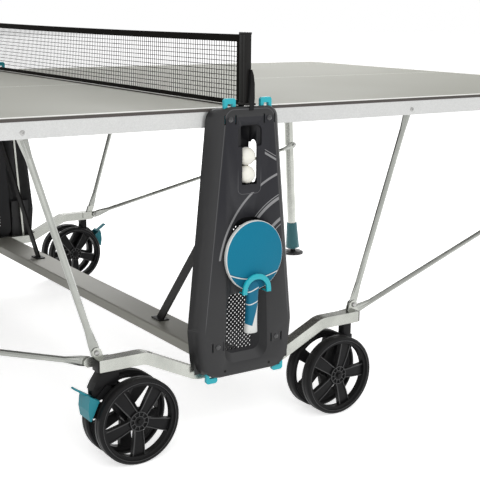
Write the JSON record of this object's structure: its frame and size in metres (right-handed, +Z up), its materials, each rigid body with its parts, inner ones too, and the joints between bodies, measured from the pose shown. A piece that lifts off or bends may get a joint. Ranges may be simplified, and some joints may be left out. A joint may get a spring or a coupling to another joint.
{
  "type": "table_tennis_table",
  "caption": "Outdoor folding table tennis table on a roll-away chassis, playing position, with net, accessory panels, bat and balls",
  "frame": {"origin": "bottom centre of the bounding box, on the floor under the middle of the net", "axes": "+X along the length of the table, to the right in the picture; +Y across the table, away from the camera; +Z up"},
  "size_m": [2.74, 1.6476, 0.921],
  "materials": {
    "top": "grey-beige resin laminate, satin",
    "surround": "silver-white coated steel",
    "tube": "galvanised steel tube",
    "beam": "taupe coated steel channel",
    "black_steel": "black coated steel",
    "panel": "charcoal moulding",
    "turquoise": "turquoise moulding",
    "teal": "dark teal moulding",
    "pedal": "teal moulding",
    "caster": "black moulding",
    "net": "black knotted net with tapes",
    "bat": "blue composite bat with a white edge",
    "ball": "ivory celluloid-like plastic"
  },
  "bodies": {
    "chassis": {"side_frame_near": "tube", "side_frame_far": "tube", "crossbeam": "beam", "brace_near": "black_steel", "brace_far": "black_steel", "panel_near": "panel", "panel_far": "panel", "bat_clip_near": "turquoise", "bat_clip_far": "turquoise", "net_post_near": "black_steel", "net_post_far": "black_steel", "net": "net"},
    "half_left": {"table_top_left": "top", "surround_left": "surround"},
    "half_right": {"table_top_right": "top", "surround_right": "surround"},
    "shoes_left": {"guide_shoe_near_left": "black_steel", "guide_shoe_far_left": "black_steel"},
    "shoes_right": {"guide_shoe_near_right": "black_steel", "guide_shoe_far_right": "black_steel"},
    "arms_left": {"arm_near_left": "tube", "arm_far_left": "tube"},
    "arms_right": {"arm_near_right": "tube", "arm_far_right": "tube"},
    "links_left": {"link_near_left": "tube", "link_far_left": "tube"},
    "links_right": {"link_near_right": "tube", "link_far_right": "tube"},
    "legs_left": {"leg_frame_left": "tube", "leg_foot_near_left": "teal", "leg_foot_far_left": "teal"},
    "legs_right": {"leg_frame_right": "tube", "leg_foot_near_right": "teal", "leg_foot_far_right": "teal"},
    "caster_near_left": {"caster_fork_near_left": "caster"},
    "caster_near_right": {"caster_fork_near_right": "caster"},
    "caster_far_left": {"caster_fork_far_left": "caster"},
    "caster_far_right": {"caster_fork_far_right": "caster"},
    "wheel_body_near_left_outer": {"wheel_near_left_outer": "caster"},
    "wheel_body_near_left_inner": {"wheel_near_left_inner": "caster"},
    "wheel_body_near_right_outer": {"wheel_near_right_outer": "caster"},
    "wheel_body_near_right_inner": {"wheel_near_right_inner": "caster"},
    "wheel_body_far_left_outer": {"wheel_far_left_outer": "caster"},
    "wheel_body_far_left_inner": {"wheel_far_left_inner": "caster"},
    "wheel_body_far_right_outer": {"wheel_far_right_outer": "caster"},
    "wheel_body_far_right_inner": {"wheel_far_right_inner": "caster"},
    "pedal_near_left": {"brake_pedal_near_left": "pedal"},
    "pedal_far_right": {"brake_pedal_far_right": "pedal"},
    "top_latch_near_left": {"latch_high_near_left": "turquoise"},
    "top_latch_near_right": {"latch_high_near_right": "turquoise"},
    "top_latch_far_left": {"latch_high_far_left": "turquoise"},
    "top_latch_far_right": {"latch_high_far_right": "turquoise"},
    "low_latch_near_left": {"latch_low_near_left": "turquoise"},
    "low_latch_near_right": {"latch_low_near_right": "turquoise"},
    "low_latch_far_left": {"latch_low_far_left": "turquoise"},
    "low_latch_far_right": {"latch_low_far_right": "turquoise"},
    "bat_body": {"bat": "bat"},
    "ball_lower_body": {"ball_lower": "ball"},
    "ball_upper_body": {"ball_upper": "ball"}
  },
  "joints": [
    {"name": "guide_left", "type": "slide", "parent": "chassis", "child": "shoes_left", "axis": [-0.0662, 0, -0.9978], "range_m": [0, 0.51376]},
    {"name": "guide_right", "type": "slide", "parent": "chassis", "child": "shoes_right", "axis": [0.0662, 0, -0.9978], "range_m": [0, 0.51376]},
    {"name": "fold_left", "type": "hinge", "parent": "shoes_left", "child": "half_left", "pos_m": [-0.048, 0, 0.7316], "axis": [0, 1, 0], "range_deg": [0, 90]},
    {"name": "fold_right", "type": "hinge", "parent": "shoes_right", "child": "half_right", "pos_m": [0.048, 0, 0.7316], "axis": [0, -1, 0], "range_deg": [0, 90]},
    {"name": "arm_left", "type": "hinge", "parent": "half_left", "child": "arms_left", "pos_m": [-0.506, 0, 0.7316], "axis": [0, -1, 0], "range_deg": [0, 39.58]},
    {"name": "arm_right", "type": "hinge", "parent": "half_right", "child": "arms_right", "pos_m": [0.506, 0, 0.7316], "axis": [0, 1, 0], "range_deg": [0, 39.58]},
    {"name": "leg_left", "type": "hinge", "parent": "half_left", "child": "legs_left", "pos_m": [-1.134, 0, 0.703], "axis": [0, -1, 0], "range_deg": [0, 71.1]},
    {"name": "leg_right", "type": "hinge", "parent": "half_right", "child": "legs_right", "pos_m": [1.134, 0, 0.703], "axis": [0, 1, 0], "range_deg": [0, 71.1]},
    {"name": "link_left", "type": "hinge", "parent": "chassis", "child": "links_left", "pos_m": [-0.366, 0, 0.233], "axis": [0, 1, 0], "range_deg": [0, 84.6]},
    {"name": "link_right", "type": "hinge", "parent": "chassis", "child": "links_right", "pos_m": [0.366, 0, 0.233], "axis": [0, -1, 0], "range_deg": [0, 84.6]},
    {"name": "swivel_near_left", "type": "hinge", "parent": "chassis", "child": "caster_near_left", "pos_m": [-0.323, -0.752, 0.2], "axis": [0, 0, 1], "continuous": true},
    {"name": "swivel_near_right", "type": "hinge", "parent": "chassis", "child": "caster_near_right", "pos_m": [0.323, -0.752, 0.2], "axis": [0, 0, 1], "continuous": true},
    {"name": "swivel_far_left", "type": "hinge", "parent": "chassis", "child": "caster_far_left", "pos_m": [-0.323, 0.752, 0.2], "axis": [0, 0, 1], "continuous": true},
    {"name": "swivel_far_right", "type": "hinge", "parent": "chassis", "child": "caster_far_right", "pos_m": [0.323, 0.752, 0.2], "axis": [0, 0, 1], "continuous": true},
    {"name": "roll_near_left_outer", "type": "hinge", "parent": "caster_near_left", "child": "wheel_body_near_left_outer", "pos_m": [-0.2746, -0.7835, 0.0973], "axis": [0, 1, 0], "continuous": true},
    {"name": "roll_near_left_inner", "type": "hinge", "parent": "caster_near_left", "child": "wheel_body_near_left_inner", "pos_m": [-0.2746, -0.7205, 0.0973], "axis": [0, 1, 0], "continuous": true},
    {"name": "roll_near_right_outer", "type": "hinge", "parent": "caster_near_right", "child": "wheel_body_near_right_outer", "pos_m": [0.2746, -0.7835, 0.0973], "axis": [0, 1, 0], "continuous": true},
    {"name": "roll_near_right_inner", "type": "hinge", "parent": "caster_near_right", "child": "wheel_body_near_right_inner", "pos_m": [0.2746, -0.7205, 0.0973], "axis": [0, 1, 0], "continuous": true},
    {"name": "roll_far_left_outer", "type": "hinge", "parent": "caster_far_left", "child": "wheel_body_far_left_outer", "pos_m": [-0.2746, 0.7835, 0.0973], "axis": [0, 1, 0], "continuous": true},
    {"name": "roll_far_left_inner", "type": "hinge", "parent": "caster_far_left", "child": "wheel_body_far_left_inner", "pos_m": [-0.2746, 0.7205, 0.0973], "axis": [0, 1, 0], "continuous": true},
    {"name": "roll_far_right_outer", "type": "hinge", "parent": "caster_far_right", "child": "wheel_body_far_right_outer", "pos_m": [0.2746, 0.7835, 0.0973], "axis": [0, 1, 0], "continuous": true},
    {"name": "roll_far_right_inner", "type": "hinge", "parent": "caster_far_right", "child": "wheel_body_far_right_inner", "pos_m": [0.2746, 0.7205, 0.0973], "axis": [0, 1, 0], "continuous": true},
    {"name": "brake_near_left", "type": "hinge", "parent": "caster_near_left", "child": "pedal_near_left", "pos_m": [-0.335, -0.752, 0.176], "axis": [0, -1, 0], "range_deg": [0, 5]},
    {"name": "brake_far_right", "type": "hinge", "parent": "caster_far_right", "child": "pedal_far_right", "pos_m": [0.335, 0.752, 0.176], "axis": [0, 1, 0], "range_deg": [0, 5]},
    {"name": "top_latch_near_left_turn", "type": "hinge", "parent": "chassis", "child": "top_latch_near_left", "pos_m": [-0.047, -0.788, 0.7365], "axis": [-1, 0, 0], "range_deg": [0, 8]},
    {"name": "top_latch_near_right_turn", "type": "hinge", "parent": "chassis", "child": "top_latch_near_right", "pos_m": [0.047, -0.788, 0.7365], "axis": [-1, 0, 0], "range_deg": [0, 8]},
    {"name": "top_latch_far_left_turn", "type": "hinge", "parent": "chassis", "child": "top_latch_far_left", "pos_m": [-0.047, 0.788, 0.7365], "axis": [1, 0, 0], "range_deg": [0, 8]},
    {"name": "top_latch_far_right_turn", "type": "hinge", "parent": "chassis", "child": "top_latch_far_right", "pos_m": [0.047, 0.788, 0.7365], "axis": [1, 0, 0], "range_deg": [0, 8]},
    {"name": "low_latch_near_left_turn", "type": "hinge", "parent": "chassis", "child": "low_latch_near_left", "pos_m": [-0.09, -0.788, 0.2325], "axis": [1, 0, 0], "range_deg": [0, 4]},
    {"name": "low_latch_near_right_turn", "type": "hinge", "parent": "chassis", "child": "low_latch_near_right", "pos_m": [0.09, -0.788, 0.2325], "axis": [1, 0, 0], "range_deg": [0, 4]},
    {"name": "low_latch_far_left_turn", "type": "hinge", "parent": "chassis", "child": "low_latch_far_left", "pos_m": [-0.09, 0.788, 0.2325], "axis": [-1, 0, 0], "range_deg": [0, 4]},
    {"name": "low_latch_far_right_turn", "type": "hinge", "parent": "chassis", "child": "low_latch_far_right", "pos_m": [0.09, 0.788, 0.2325], "axis": [-1, 0, 0], "range_deg": [0, 4]},
    {"name": "bat_lift", "type": "slide", "parent": "chassis", "child": "bat_body", "axis": [0, 0, 1], "range_m": [0, 0.06]},
    {"name": "ball_lower_lift", "type": "slide", "parent": "chassis", "child": "ball_lower_body", "axis": [0, 0, 1], "range_m": [0, 0.02]},
    {"name": "ball_upper_lift", "type": "slide", "parent": "ball_lower_body", "child": "ball_upper_body", "axis": [0, 0, 1], "range_m": [0, 0.02]}
  ],
  "couplings": [
    {"joint": "guide_left", "follows": "fold_left", "m_per_rad": 0.32706},
    {"joint": "guide_right", "follows": "fold_right", "m_per_rad": 0.32706},
    {"joint": "arm_left", "follows": "fold_left", "ratio": 0.43975},
    {"joint": "arm_right", "follows": "fold_right", "ratio": 0.43975},
    {"joint": "leg_left", "follows": "fold_left", "ratio": 0.78889},
    {"joint": "leg_right", "follows": "fold_right", "ratio": 0.78889},
    {"joint": "link_left", "follows": "fold_left", "ratio": 0.93889},
    {"joint": "link_right", "follows": "fold_right", "ratio": 0.93889}
  ]
}
